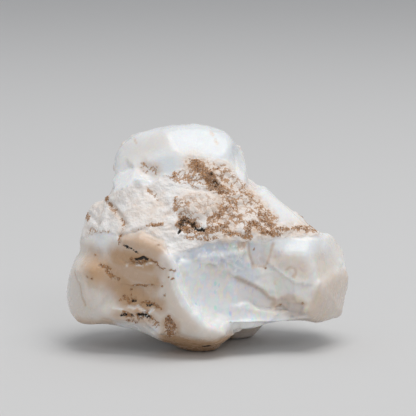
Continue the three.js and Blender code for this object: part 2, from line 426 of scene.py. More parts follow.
# The smooth lump in the middle of the crust, and the cleaner white plates round it.
LUMP = [(-6.8, 34.0), (-7.0, 32.4), (-6.4, 31.0), (-4.7, 30.5), (-2.1, 29.6), (0.4, 30.4), (2.2, 31.9),
        (1.7, 34.2), (-0.6, 35.3), (-3.9, 35.5)]
lump = patch(LUMP, 1.6)
push(0.75 * lump - 0.35 * stroke(LUMP + LUMP[:1], 0.1, 0.7, 0.3 * waver))
CHIPS = [
    [(-20.8, 32.4), (-18.4, 32.8), (-16.8, 31.6), (-18.6, 30.4)],
    [(6.2, 32.6), (9.0, 32.6), (11.0, 31.4), (10.4, 29.4), (8.1, 28.8), (6.4, 30.4)],
    [(9.0, 28.2), (10.6, 28.6), (11.6, 27.6), (10.4, 26.6), (8.8, 26.8)],
    [(-17.4, 29.4), (-15.4, 30.6), (-13.6, 29.4), (-15.8, 27.8)],
]
clean = lump.copy()
for outline in CHIPS:
    clean = np.maximum(clean, patch(outline, 0.8, 0.8 * waver))
    face(outline, 0.6, turn=(0, 0, 0.2), share=0.8)
for crease, depth in [([(-12.9, 35.4), (-11.6, 34.5), (-10.7, 33.5)], 0.3),
                      ([(-21.6, 32.2), (-20.4, 31.4), (-18.8, 30.0), (-17.7, 28.4), (-18.5, 26.5)], 0.5),
                      ([(-15.7, 27.2), (-13.4, 28.0)], 0.35),
                      ([(-26.0, 29.0), (-23.6, 27.6)], 0.3)]:
    push(-depth * stroke(crease, 0.15, 0.7, 0.4 * waver))

# How much of the ground soil covers along each run: width, fade, and share at its middle.
SOIL = [
    ([(-3.0, 41.0), (-1.6, 39.8), (0.0, 38.2), (1.4, 36.4)], 0.3, 1.8, 0.86),
    ([(-0.2, 38.8), (0.8, 37.6), (1.8, 36.4), (2.8, 35.2)], 0.2, 1.1, 1.15),
    ([(-4.4, 41.2), (-1.8, 41.2)], 0.1, 1.2, 0.30),
    ([(3.0, 35.4), (4.4, 34.0), (5.8, 32.2)], 0.2, 1.3, 0.54),
    ([(0.4, 29.4), (2.2, 30.6), (3.8, 31.8)], 0.3, 1.2, 0.74),
    ([(2.6, 32.4), (4.6, 30.8), (6.6, 29.6)], 0.1, 1.4, 0.46),
    ([(7.2, 35.2), (9.2, 33.2), (11.4, 31.4), (13.0, 29.8)], 0.0, 1.3, 0.36),
    ([(8.6, 30.6), (10.4, 31.0)], 0.3, 1.2, 0.40),
    ([(11.0, 30.2), (12.2, 29.0), (13.6, 27.8)], 0.2, 1.2, 0.66),
    ([(8.2, 26.8), (9.0, 28.4), (10.4, 28.6), (11.8, 27.2), (13.4, 26.5), (15.4, 25.9)], 0.1, 1.1, 0.74),
    ([(14.8, 27.0), (17.7, 27.0), (20.6, 26.9), (23.2, 25.9)], 0.1, 0.9, 0.54),
    ([(3.6, 27.0), (5.4, 26.6), (7.0, 26.1), (8.6, 25.9)], 0.1, 0.9, 0.74),
    ([(-4.6, 26.4), (-1.6, 25.8), (1.6, 26.0)], 0.1, 0.8, 0.50),
    ([(-6.2, 29.0), (-5.2, 28.2), (-3.4, 27.4), (-0.6, 27.2), (1.4, 28.0), (3.6, 28.4)], 0.2, 1.2, 0.80),
    ([(-5.6, 30.0), (-4.2, 29.2), (-2.0, 28.6)], 0.2, 0.9, 0.86),
    ([(-14.3, 40.4), (-12.8, 39.4), (-11.2, 39.2)], 0.1, 1.4, 0.26),
    ([(-8.0, 39.0), (-6.0, 38.3), (-3.9, 37.9), (-2.2, 37.0)], 0.3, 2.2, 0.36),
    ([(-12.9, 35.4), (-11.6, 34.5), (-10.7, 33.5)], 0.0, 0.7, 0.36),
    ([(-22.0, 32.9)], 0.1, 0.9, 0.85),
    ([(-26.3, 28.4)], 0.1, 1.0, 0.80),
    ([(-21.2, 31.8), (-19.8, 30.8)], 0.0, 1.2, 0.38),
    ([(-18.6, 29.6), (-17.7, 28.4), (-18.4, 26.8)], 0.0, 0.7, 0.42),
    ([(-15.7, 27.2), (-13.4, 28.0)], 0.0, 0.28, 0.66),
    ([(-12.9, 28.4), (-10.0, 28.8)], 0.0, 0.28, 0.50),
    ([(-0.9, 30.9)], 0.1, 0.5, 0.70),
    (LUMP[:5], 0.0, 0.7, 0.42),
    ([(-5.8, 33.0), (-4.2, 33.5)], 0.1, 0.8, 0.40),
    ([(-25.0, 25.6), (-21.0, 26.2)], 0.1, 1.4, 0.30),
]
SPECKLED = [(0.0, 41.4), (4.2, 40.8), (6.2, 38.4), (8.8, 35.4), (12.6, 32.0), (15.0, 29.0), (14.0, 26.4),
            (7.0, 27.4), (2.4, 29.6), (2.8, 34.6), (1.6, 37.6)]
POCKET = [(-16.0, 41.6), (-10.6, 41.0), (-9.6, 38.0), (-13.0, 37.0), (-15.6, 38.6)]
soil = 0.08 * crust
soil = np.maximum(soil, 0.25 * patch(LUMP, 1.0))
soil = np.maximum(soil, patch(SPECKLED, 3.6, waver) * (0.27 + 0.16 * rough(rock, 2.6, 56)))
for run, width, fade, cover in SOIL:
    soil = np.maximum(soil, cover * stroke(run, width, fade, 0.8 * waver))
soil = soil * (1 - 0.45 * clean * (soil < 0.4))
soil = soil * (0.90 + 0.50 * rough(rock, 3.0, 16)) * np.maximum(crust, patch(POCKET, 1.0, waver))

heap = 0.6 * ease(chunk_edge, 0.0, 0.45) + 0.4 * ease(crumb_edge, 0.0, 0.5) * (0.5 + 0.5 * crumb_pick)
grainy = np.clip(crust - 0.6 * lump, 0, 1) * (1 - 0.6 * left)
push(grainy * (0.11 * ease(crumb_edge, 0.0, 0.4) * (0.3 + crumb_pick) - 0.06))
push(ease(soil, 0.3, 0.8) * (0.22 * rough(rock, 0.8, 17) + 0.10 * crumb_pick))

# Cavities where crumbs have fallen out of the crust, dented in and painted near-black as painted shade inside
# them.
dark = np.zeros(count)
CAVITIES = [
    ([(-5.6, 29.0), (-4.2, 29.4), (-3.2, 28.8)], 0.35, 0.7, 1.1),
    ([(-2.9, 28.5), (-2.2, 27.9), (-0.8, 27.8)], 0.25, 0.7, 1.1),
    ([(-6.2, 27.2), (-5.7, 27.6)], 0.15, 0.5, 0.9),
    ([(0.6, 38.4)], 0.15, 0.6, 0.8),
    ([(1.3, 37.1), (1.8, 36.6)], 0.25, 0.6, 0.9),
    ([(0.9, 35.6)], 0.1, 0.5, 0.7),
]
cavity_gaps = 1 - ease(crumb_edge + 0.25 * rough(rock, 0.6, 18), 0.10, 0.32)
for run, width, fade, depth in CAVITIES:
    hole = stroke(run, width, fade, 0.5 * waver) * np.maximum(
        cavity_gaps, stroke(run, 0.0, 0.35, 0.5 * waver)
    )
    push(-0.8 * depth * hole)
    dark = np.maximum(dark, hole)

colour_in("crust", crust)
colour_in("chalk", clean * (1 - lump) * (1 - patch(CHIPS[2], 0.8)))
colour_in("chalk", 0.9 * crust * (1 - lump) * ease(plate_pick + 0.5 * waver, 0.45, 0.75))
colour_in("chalk", 0.8 * stroke([
    (-23.0, 26.6), (-19.0, 27.4), (-14.0, 29.4), (-9.0, 28.0), (-6.0, 25.0), (0.0, 25.4),
],
                                0.6, 2.4, waver))
colour_in("dust", ease(soil, 0.10, 0.75))
colour_in("dust", 0.42 * crust * patch(SPECKLED, 6.0, waver))
colour_in("dust", 0.30 * crust * ease(rough(rock, 4.0, 52), 0.0, 0.5))
colour_in("dust", 0.34 * lump)
colour_in("dust", 0.62 * stroke([
    (-3.6, 41.0), (0.0, 39.0), (3.0, 35.4), (2.0, 30.6), (4.0, 27.0),
], 0.8, 3.0, waver))
colour_in("dust", 0.62 * stroke([(8.0, 35.0), (13.4, 29.4), (12.0, 26.8), (22.0, 26.6)], 0.4, 2.2, waver))
colour_in("dust", 0.55 * stroke([(-13.6, 39.6), (-11.4, 39.4)], 0.6, 2.0, waver))
colour_in("dust", 0.5 * stroke([(-21.2, 31.8), (-18.8, 30.0), (-17.7, 28.4), (-18.5, 26.5)], 0.1, 1.6, waver))
colour_in("dark", dark)
colour_in("dust", 0.9 * patch(CHIPS[2], 0.8))
colour_in("amber_and_shade", 0.30 * patch(CHIPS[3], 1.2))
colour_in("amber_and_shade", 0.75 * stroke([(6.4, 26.8), (7.8, 25.4), (7.0, 24.0)], 0.5, 0.9, 0.6 * waver))

# ---------------------------------------------------------------------------
# Amber hollow: low on the left the opal is thin, waxy and tan, under a domed brow, with cracks
# painted black as painted shade, ledges with a painted highlight along their edges and a band of dirt-filled
# pits along its foot.
# ---------------------------------------------------------------------------


def ledge(spots, height, above=1.0, below=0.7, bend=0.15):
    """A small overhanging break: the skin stands proud above the line and drops back below it,
    or the other way round where `height` is negative."""
    gap, side = to_line(spots)
    gap = gap + bend * rough(rock, 0.9, 21)
    up = np.exp(-np.maximum(gap, 0) / above)
    down = -0.6 * np.exp(-np.maximum(gap, 0) / below)
    push(in_front * height * np.where(side > 0, up, down))


look_again()
BROW = [(-18.3, 25.6), (-14.4, 26.8), (-12.0, 25.8), (-9.0, 24.2), (-8.0, 21.6), (-11.0, 22.0), (-15.0, 23.4)]
push(1.1 * patch(BROW, 5.0))
push(-0.30 * stroke([(-18.8, 26.0), (-14.2, 27.6), (-10.0, 25.8), (-8.2, 23.0)], 0.2, 0.7, 0.3 * waver))
push(-0.5 * stroke([(-20.5, 18.0), (-14.0, 17.0)], 2.0, 5.0))
ledge([(-17.4, 20.6), (-16.3, 20.3), (-14.0, 20.3), (-12.7, 20.9), (-11.2, 21.2)], -0.5, 1.6, 0.8)
ledge([(-16.6, 15.6), (-15.8, 15.6), (-13.2, 15.8), (-11.4, 16.1)], 0.32, 0.8, 0.8)
face([(-16.0, 15.2), (-14.0, 15.4), (-13.6, 13.6), (-15.0, 12.4), (-16.0, 13.2)], 0.4, turn=(0.2, 0, 0.2))
ledge([
    (-17.0, 10.9), (-15.9, 10.6), (-15.1, 11.1), (-14.3, 10.6), (-13.4, 10.2), (-12.4, 10.3),
    (-11.0, 11.2),
],
      -0.62, 0.9, 0.8)
ledge([(-18.6, 9.4), (-16.2, 9.6), (-12.3, 9.8)], 0.35, 0.7, 0.6)
face([(-14.3, 8.8), (-12.8, 9.4), (-11.3, 8.1), (-9.4, 6.3), (-9.9, 4.2), (-12.4, 5.3)], 0.35,
     turn=(-0.25, 0, -0.15), sink=-0.15)
# White edges along the ledges: painted highlight.
for edge, width in [
    ([(-17.2, 20.1)], 0.4), ([(-15.2, 20.2), (-13.8, 20.1)], 0.25),
    ([(-12.9, 20.6), (-11.6, 21.0)], 0.3),
    ([
        (-17.0, 10.9), (-15.9, 10.6), (-15.1, 11.1), (-14.3, 10.6), (-13.4, 10.2), (-12.4, 10.3),
        (-11.6, 10.8),
    ], 0.45),
    ([(-14.6, 8.9), (-12.8, 9.3)], 0.3), ([(-20.4, 10.6), (-18.4, 10.4)], 0.35),
]:
    colour_in("painted_highlight", 0.9 * stroke(edge, 0.0, width, 0.2 * waver))
# Cracks and pits, dented in and painted near-black: painted shade inside them.
crack_shade_marks = [
    ([(-18.0, 24.7), (-16.5, 24.0), (-14.7, 23.1)], 0.0, 0.32, 0.30, False),
    ([(-15.2, 21.5), (-14.4, 21.7), (-13.6, 22.2), (-12.8, 21.8)], 0.12, 0.60, 0.50, False),
    ([(-14.6, 11.3), (-13.6, 11.7), (-12.6, 11.5), (-11.4, 11.7)], 0.0, 0.30, 0.35, True),
    ([(-18.6, 8.9), (-17.8, 9.2)], 0.10, 0.45, 0.45, True),
    ([(-16.4, 9.1), (-15.6, 8.9)], 0.00, 0.40, 0.35, True),
    ([(-14.8, 9.3), (-13.4, 9.6), (-12.4, 9.3)], 0.05, 0.45, 0.55, False),
    ([(-16.4, 12.0), (-15.6, 12.1)], 0.10, 0.4, 0.35, True),
    ([(-1.1, 2.0), (0.4, 2.2)], 0.10, 0.4, 0.20, True),
]
dark = np.zeros(count)
for run, width, fade, depth, broken in crack_shade_marks:
    mark = stroke(run, width, fade, 0.4 * waver)
    if broken:
        mark = mark * ease(rough(rock, 0.7, 22), -0.35, 0.0)
    push(-depth * mark)
    dark = np.maximum(dark, mark)
colour_in("dark", dark)

BROWN_TRAILS = [
    ([(-11.9, 21.7), (-10.5, 20.9), (-9.4, 20.1)], 0.05, 0.45, 0.85),
    ([(-15.8, 15.8), (-13.2, 16.0), (-11.6, 16.2)], 0.02, 0.45, 0.80),
    ([(-23.1, 19.8), (-22.0, 19.3), (-20.8, 18.9)], 0.05, 0.5, 0.75),
    ([(-21.6, 18.5), (-20.5, 17.4), (-19.2, 16.8)], 0.10, 0.6, 0.80),
    ([(-18.6, 12.4), (-17.6, 13.1), (-16.7, 11.9), (-15.6, 12.6)], 0.05, 0.7, 0.62),
    ([(-14.0, 12.0), (-12.6, 12.3), (-11.2, 12.1), (-9.8, 11.2)], 0.02, 0.40, 0.72),
    ([(-16.2, 21.6), (-15.2, 20.9), (-14.2, 20.6), (-13.0, 21.2)], 0.10, 0.60, 0.78),
    ([(-18.0, 9.6), (-16.2, 8.6)], 0.10, 0.8, 0.56),
    ([(-14.6, 9.0), (-12.4, 9.8)], 0.10, 1.0, 0.60),
    ([(-17.2, 8.0), (-15.2, 7.6)], 0.00, 0.6, 0.50),
    ([(-12.0, 9.2), (-10.6, 7.6)], 0.05, 0.4, 0.75),
    ([(-18.6, 26.2), (-18.8, 24.6)], 0.05, 0.4, 0.70),
]
SPECKS = [
    (-8.0, 19.9), (-7.4, 19.6), (-8.4, 18.2), (-7.6, 17.7), (-8.9, 14.3), (-9.5, 16.2), (-10.6, 24.6),
    (-24.8, 16.9), (-25.8, 17.1), (-16.4, 13.4), (-17.4, 12.9), (-16.2, 14.6), (4.7, 6.9),
    (-24.6, 21.4),
]
for run, width, fade, fill in BROWN_TRAILS:
    push(-0.22 * stroke(run, width, fade, 0.4 * waver))
    soil = np.maximum(
        soil, fill * stroke(run, width, fade, 0.5 * waver) * ease(rough(rock, 1.4, 23), -0.7, 0.0)
    )
for spot in SPECKS:
    soil = np.maximum(soil, 0.9 * stroke([spot], 0.08, 0.30, 0.35 * waver))
DIRT = [(-9.1, 9.1), (-8.0, 9.9), (-6.8, 7.9), (-6.8, 5.6), (-8.6, 3.9), (-9.2, 6.3)]
dirt = patch(DIRT, 0.6, 0.6 * waver)
soil = np.maximum(soil, dirt * (0.62 + 0.20 * ease(rock[:, 2], 6.0, 9.0)))
colour_in("crust", 0.7 * dirt)
push(dirt * (0.55 * (crumb_pick - 0.6) * ease(crumb_edge, 0.0, 0.35)))

AMBER = [
    ([(-23.4, 18.8), (-20.6, 17.6), (-17.6, 14.6), (-14.6, 12.4)], 1.4, 4.2, 0.98),
    ([(-18.6, 21.4), (-16.0, 21.4), (-13.0, 20.6)], 1.0, 3.8, 1.04),
    ([(-17.0, 24.6), (-13.6, 25.2), (-10.8, 23.8)], 0.6, 3.0, 0.82),
    ([(-12.4, 19.4), (-13.0, 16.0), (-13.4, 12.2)], 1.0, 4.4, 0.80),
    ([(-19.0, 19.2), (-15.0, 18.0), (-11.6, 17.0)], 0.8, 3.0, 0.92),
    ([(-18.0, 12.6), (-10.6, 12.0)], 0.6, 3.0, 0.90),
    ([(-19.0, 9.0), (-12.0, 9.0)], 0.4, 2.6, 0.70),
    ([(-8.0, 3.4), (-5.6, 2.4), (-2.8, 1.8), (0.9, 1.6), (3.4, 2.4)], 1.0, 3.2, 1.20),
    ([(-8.0, 8.0), (-7.6, 4.2)], 0.6, 2.6, 0.95),
    ([(-28.0, 6.4), (-24.0, 6.0), (-21.0, 7.0)], 0.1, 2.6, 0.66),
    ([(-28.0, 8.0), (-26.0, 16.0)], 0.1, 4.0, 0.16),
    ([(20.0, 7.0), (24.0, 6.4), (29.0, 6.0)], 0.1, 2.4, 0.40),
]
HOLLOW = [
    (-23.8, 19.6), (-18.4, 23.4), (-12.0, 25.6), (-9.6, 22.0), (-10.4, 15.0), (-10.8, 10.8),
    (-16.0, 9.6), (-19.4, 13.0), (-23.6, 16.6),
]
colour_in("amber_and_shade", 0.82 * patch(HOLLOW, 5.0, waver))
for run, width, fade, share in AMBER:
    colour_in("amber_and_shade", share * stroke(run, width, fade, waver))

# ---------------------------------------------------------------------------
# Keel and bowl: the keel is waxy cream opal worn round. Its right edge is a crisp ridge, and
# behind it the glossy bowl breaks away, the only clean opal with a play of colour.
# ---------------------------------------------------------------------------


def break_off(pieces, weight, share):
    """Gives every piece of the skin its own flat break: the points that share a number in
    `pieces` move towards their own mean plane."""
    global rock
    _, group = np.unique(pieces, return_inverse=True)
    members = np.bincount(group)[:, None]
    middle = np.stack([np.bincount(group, rock[:, axis]) for axis in range(3)], axis=1) / members
    way = np.stack([np.bincount(group, facing[:, axis]) for axis in range(3)], axis=1)
    way /= np.linalg.norm(way, axis=1, keepdims=True) + 1e-9
    height = np.sum((rock - middle[group]) * way[group], axis=1)
    near = np.exp(-(height / 2.0) ** 4)
    rock = rock - (weight * near * share * height)[:, None] * way[group]


look_again()
RIDGE = [
    (-8.2, 22.0), (-7.4, 19.0), (-6.9, 17.0), (-6.2, 14.8), (-4.9, 12.0), (-2.5, 9.2), (0.0, 7.1),
    (3.0, 5.9),
]
gap, side = to_line(RIDGE)
right_of_ridge = side > 0
push(in_front * np.where(right_of_ridge, 1.1 * np.exp(-gap / 0.8) - 0.55 * np.exp(-((gap - 3.0) / 1.8) ** 2),
                         1.1 * np.exp(-gap / 2.6)))
BOWL = [
    (-7.4, 21.4), (-6.9, 17.0), (-6.2, 14.8), (-4.9, 12.0), (-2.5, 9.2), (0.0, 7.1), (3.0, 6.2),
    (10.0, 7.0), (16.0, 7.4), (11.0, 10.4), (6.6, 12.0), (6.8, 16.4), (9.2, 20.0), (8.6, 24.4),
    (3.0, 25.2), (-3.8, 23.2),
]
bowl = patch(BOWL, 1.6)
push(bowl * 0.16 * rough(rock * (1.0, 1.0, 0.6), 3.0, 31, 2))
dish_near, dish_edge, dish_pick = crumbs(rock * (1.0, 1.0, 0.8), 4.6, 32)
push(bowl * 0.28 * (dish_near ** 2 - 0.3))
flake_near, flake_edge, flake_pick = crumbs(rock * (1.0, 1.0, 0.7), 1.9, 34)
push(bowl * 0.10 * (flake_near ** 2 - 0.3))
feathers = patch([
    (-6.6, 22.0), (-2.0, 17.4), (3.4, 16.0), (6.4, 12.0), (12.0, 9.6), (13.0, 14.0), (11.0, 24.4),
    (3.0, 25.2),
], 2.4)
push(feathers * 0.34 * terraces(rock * (1.0, 1.0, 1.5), 4.4, 53))
push(bowl * 0.08 * terraces(rock * (1.0, 1.0, 0.6), 5.0, 54))
for spots, height in [([(-1.6, 21.2), (-0.2, 20.6), (1.6, 20.3)], 0.26), ([(3.4, 21.5), (5.0, 21.2)], 0.25),
                      ([(3.8, 20.9), (4.7, 20.3), (6.0, 19.3), (7.4, 18.7)], 0.42),
                      ([(-0.8, 22.6), (0.8, 22.2)], 0.25), ([(-4.2, 22.0), (-2.6, 21.4)], 0.2),
                      ([(6.8, 10.3), (9.6, 10.0), (11.6, 9.4)], 0.25)]:
    ledge(spots, height, 0.6, 0.6, 0.1)
colour_in("play", bowl)
# The keel's left side, turned from the light, is painted deep cream with a tan edge along the ridge: its own
# cream colour deepened as painted shade.
colour_in("cream_and_shade", 0.9 * patch([
    (-9.0, 22.0), (-7.6, 20.0), (-6.9, 14.8), (-5.2, 11.6), (-2.5, 8.6), (0.4, 6.4), (6.0, 4.4),
    (5.0, 0.0), (-9.0, 0.0), (-11.0, 6.0), (-9.4, 16.0),
], 1.2, 0.5 * waver))
colour_in("amber_and_shade", 0.20 * stroke([(-9.6, 21.0), (-8.6, 15.4), (-7.0, 11.2), (-3.6, 7.0)], 0.6, 1.8, waver))
colour_in("milk", patch([
    (-6.4, 19.0), (-6.0, 15.4), (-4.2, 11.6), (-1.8, 9.2), (1.0, 7.6), (9.0, 7.4), (8.0, 10.0),
    (3.0, 12.0), (-1.0, 17.0), (-4.0, 20.0),
], 1.6, 0.5 * waver))
# Under the overhanging lip the top of the bowl is painted grey-blue: painted shade.
colour_in("cool", 0.9 * stroke([(-1.4, 24.2), (1.7, 23.9), (4.4, 21.2), (8.6, 17.4)], 0.8, 2.6, waver))
colour_in("cool", 1.2 * stroke([(-3.0, 23.2), (2.0, 24.2), (6.6, 24.4)], 0.5, 1.8, waver))
crumbly = bowl * stroke([(-4.6, 21.4), (0.0, 22.4), (5.4, 21.6)], 1.6, 2.6, waver)
break_off(flake_pick, crumbly * ease(flake_edge, 0.0, 0.1), 0.9)
push(crumbly * (1.05 * (flake_pick - 0.5) * ease(flake_edge, 0.0, 0.2) + 0.20 * rough(rock, 1.3, 35)))
# Thin white edges on some flakes are painted highlight; the low flakes between them are painted grey-blue as
# painted shade.
flake_highlights = (1 - ease(flake_edge, 0.03, 0.14)) * (flake_pick > 0.5) * ease(rough(rock, 2.2, 36), -0.1, 0.2)
colour_in("painted_highlight", 0.8 * flake_highlights * np.maximum(crumbly, 0.6 * feathers * ease(rock[:, 2], 14.0, 18.0)))
colour_in("cool", 0.9 * crumbly * (flake_pick < 0.45))
# Sparse glints over the bowl, raised a little and painted white: painted highlight.
glints = bowl * ease(rough(rock * (0.7, 1.0, 1.6), 1.0, 38), 0.40, 0.55)
push(0.12 * glints)
colour_in("painted_highlight", 0.8 * glints)
low_flakes = stroke([(-6.4, 19.4), (-5.6, 15.4), (-3.4, 11.6), (-0.6, 9.2), (4.0, 8.0)], 0.6, 1.6)
push(low_flakes * 0.35 * (flake_pick - 0.5) * ease(flake_edge, 0.0, 0.2))
push(-0.5 * stroke([(-1.0, 23.6), (2.0, 23.8), (6.4, 24.0)], 0.4, 1.4))
colour_in("warm", 0.7 * stroke([(1.0, 19.4), (3.4, 18.2)], 0.8, 2.0, waver))

# ---------------------------------------------------------------------------
# Right-hand breaks: overlapping steps of grey-blue and tan opal between the bowl and the
# right lobe, each with a thin painted highlight on its edge where it stands over the next.
# ---------------------------------------------------------------------------

look_again()
FACE_A = [(8.4, 24.6), (13.6, 24.0), (12.8, 21.6), (12.0, 19.6), (9.4, 19.3), (8.8, 21.6)]
FACE_B = [
    (6.4, 18.9), (9.4, 19.3), (12.0, 19.2), (13.4, 17.4), (14.4, 13.4), (15.4, 11.2), (11.6, 14.3),
    (8.6, 15.9), (6.2, 17.0),
]
FACE_C = [
    (6.2, 16.6), (8.6, 15.6), (11.6, 13.9), (14.6, 10.9), (13.6, 9.6), (11.6, 9.8), (9.0, 11.4),
    (6.4, 12.6),
]
FACE_D = [(13.4, 19.4), (16.7, 16.8), (20.8, 15.0), (22.8, 14.6), (21.0, 12.2), (14.8, 12.6), (14.0, 16.0)]
UNDER_LOBE = [(14.6, 11.8), (17.6, 12.6), (20.4, 11.6), (21.0, 8.4), (17.7, 7.8), (14.6, 9.6)]
LOW_FACE = [(6.8, 10.1), (11.6, 9.1), (17.0, 7.6), (17.0, 6.4), (11.6, 6.2), (5.1, 6.0), (3.0, 6.9)]
face(FACE_A, 0.5, turn=(-0.20, 0, -0.05), sink=0.35, share=0.9)
face(FACE_B, 0.5, turn=(-0.05, 0, 0.10), sink=-0.10, share=0.7)
face(FACE_C, 0.5, turn=(0.05, 0, -0.22), sink=0.45, share=0.7)
face(FACE_D, 0.8, turn=(-0.10, 0, -0.06), sink=0.10, share=0.5)
face(UNDER_LOBE, 0.6, turn=(-0.15, 0, -0.40), sink=0.75, share=0.9)
face(LOW_FACE, 0.6, turn=(0, 0, 0.25), share=0.8)
steps = patch([(5.0, 25.0), (14.0, 24.6), (24.0, 18.0), (21.0, 8.0), (13.0, 6.0), (5.0, 12.0)], 2.0)
break_off(dish_pick, steps * ease(dish_edge, 0.0, 0.08), 0.6)
push(steps * 0.35 * (dish_near ** 2 - 0.3))
push(steps * 0.12 * (flake_near ** 2 - 0.3))
push(steps * 0.12 * terraces(rock * (1.0, 1.0, 1.4), 7.0, 65, 3.0))
for spots, height, above, below in [
    ([
        (5.6, 17.4), (6.4, 17.0), (8.6, 15.9), (11.6, 14.3), (13.3, 12.5), (14.6, 11.3), (16.0, 10.4),
    ], 0.55, 1.2, 1.4),
    ([(12.9, 19.9), (14.6, 18.5), (16.7, 17.0), (18.6, 15.6), (20.8, 15.3)], 0.45, 0.8, 0.9),
    ([(8.0, 24.8), (8.8, 22.0), (9.4, 19.6), (11.8, 18.9)], -0.30, 0.7, 0.8),
    ([(6.4, 11.3), (9.0, 11.5), (11.6, 9.9), (14.4, 9.4), (16.6, 9.6), (19.8, 8.5)], -0.5, 1.0, 0.8),
    ([(17.2, 11.2), (19.2, 11.4)], 0.3, 0.5, 0.5),
]:
    ledge(spots, height, above, below, 0.12)
# Bright edges on the steps, the lobe top and the keel ridge: painted highlight.
for edge in ([
    (13.2, 19.6), (14.6, 18.7), (16.7, 17.2), (18.6, 15.9), (20.8, 15.5),
], [(3.6, 21.6), (5.0, 21.3)],
             [(3.9, 21.1), (4.8, 20.5), (6.1, 19.5), (7.5, 18.9)], [(-0.2, 20.8), (1.6, 20.5)],
             [(6.6, 11.5), (7.8, 11.2)], [(15.0, 9.9), (16.4, 9.8)], [(18.0, 24.9), (25.6, 24.2)],
             [(28.6, 19.0), (30.4, 17.2)], [(-8.0, 19.2), (-7.2, 15.6), (-5.4, 12.0)]):
    colour_in("painted_highlight", 0.8 * stroke(edge, 0.0, 0.5, 0.3 * waver))
colour_in("milk", patch(LOW_FACE, 1.0))
RING = [(16.9, 18.5), (17.6, 19.1), (18.5, 18.9), (18.8, 17.7), (18.2, 16.9)]
push(-0.15 * stroke(RING, 0.1, 0.4))
# Grey-blue on the three faces; on face C, the underside beneath the crease, it is painted shade.
colour_in("cool", 0.8 * patch(FACE_A, 0.8))
colour_in("cool", 0.15 * patch(FACE_B, 1.2))
colour_in("cool", 0.45 * patch(FACE_C, 1.2))
colour_in("warm", 0.5 * stroke([(11.6, 21.6), (16.0, 20.6), (20.0, 18.0)], 1.0, 3.0, waver))
colour_in("warm", 0.5 * stroke([(8.0, 13.6), (13.0, 11.0), (18.0, 12.0)], 1.0, 2.0, waver))
colour_in("amber_and_shade", 0.55 * stroke([
    (6.4, 17.0), (8.6, 15.8), (11.6, 14.0), (15.4, 10.8),
], 0.1, 0.8, 0.5 * waver))
colour_in("amber_and_shade", 0.50 * stroke([(14.2, 10.8), (17.0, 12.2), (20.4, 11.4)], 0.3, 1.2, 0.6 * waver))
colour_in("amber_and_shade", 0.50 * stroke(RING, 0.1, 0.5, 0.3 * waver))
colour_in("amber_and_shade", 0.55 * stroke([
    (8.4, 24.6), (9.0, 21.6), (9.8, 19.4), (12.4, 19.2), (13.2, 21.6), (13.8, 24.0),
],
                                0.0, 0.6, 0.3 * waver))
colour_in("amber_and_shade", 0.20 * stroke([(12.2, 20.6), (16.0, 20.6), (19.6, 19.2)], 0.8, 2.0, waver))
# The recess under the right lobe is painted tan and grey-blue: painted shade.
colour_in("amber_and_shade", 0.40 * patch(UNDER_LOBE, 1.0))
colour_in("cream_and_shade", 0.15 * patch(FACE_D, 1.4))
colour_in("cool", 0.5 * patch(UNDER_LOBE, 1.0))
colour_in("play", 0.6 * steps)
for spot in [(15.7, 10.7), (20.2, 11.4), (9.9, 23.2), (12.6, 19.0)]:
    soil = np.maximum(soil, 0.85 * stroke([spot], 0.08, 0.35, 0.3 * waver))

# ---------------------------------------------------------------------------
# Right and left lobes: the stone's blunt ends, worn nearly smooth. The right one is milky
# with a ridge down its front corner, the left one greyer, creamy and cracked once.
# ---------------------------------------------------------------------------

look_again()
LOBE_FACE = [
    (23.8, 15.6), (27.0, 17.2), (31.5, 16.0), (31.0, 9.0), (28.5, 4.0), (22.4, 5.6), (20.9, 9.7),
    (22.3, 12.9),
]
face(LOBE_FACE, 2.0, turn=(0.10, 0, -0.04), share=0.5)
push(0.45 * stroke([(23.6, 15.6), (22.3, 12.9), (20.8, 9.5)], 0.1, 0.7))
push(0.20 * stroke([(15.4, 23.2), (19.8, 23.4), (25.0, 22.4)], 0.6, 2.2))
# The top of the right lobe is painted a darker bluish white: painted shade that tones down the top facing the
# overhead light.
colour_in("frost_and_shade", stroke([(15.0, 23.6), (22.0, 24.0)], 1.4, 2.0))
push(-0.3 * stroke([(29.8, 17.0), (31.5, 15.6)], 0.2, 0.9))
colour_in("amber_and_shade", patch(LOBE_FACE, 1.6, 0.5 * waver) * (0.40 + 0.18 * rough(rock, 6.0, 57)))
right_end = ease(rock[:, 0], 19.0, 25.0) * ease(facing[:, 0], 0.5, 0.9)
colour_in("amber_and_shade", 0.34 * right_end * ease(rough(rock, 8.0, 60), -0.4, 0.5))
end_near, end_edge, end_pick = crumbs(rock, 7.0, 63)
sideways = ease(facing[:, 0], 0.80, 0.96) * ease(rock[:, 0], 14.0, 20.0)
break_off(end_pick, sideways * ease(end_edge, 0.0, 0.08), 0.4)
push(sideways * (0.4 * (end_near ** 2 - 0.2) + 0.12 * terraces(rock, 7.0, 64, 3.0)))
colour_in("cream_and_shade", 0.35 * patch([
    (14.0, 21.6), (24.0, 22.0), (30.0, 20.0), (31.0, 6.0), (22.0, 6.0), (20.0, 12.0),
], 3.0))
colour_in("play", 0.35 * patch([(16.0, 24.0), (28.0, 23.0), (30.0, 6.0), (20.0, 6.0)], 3.0))

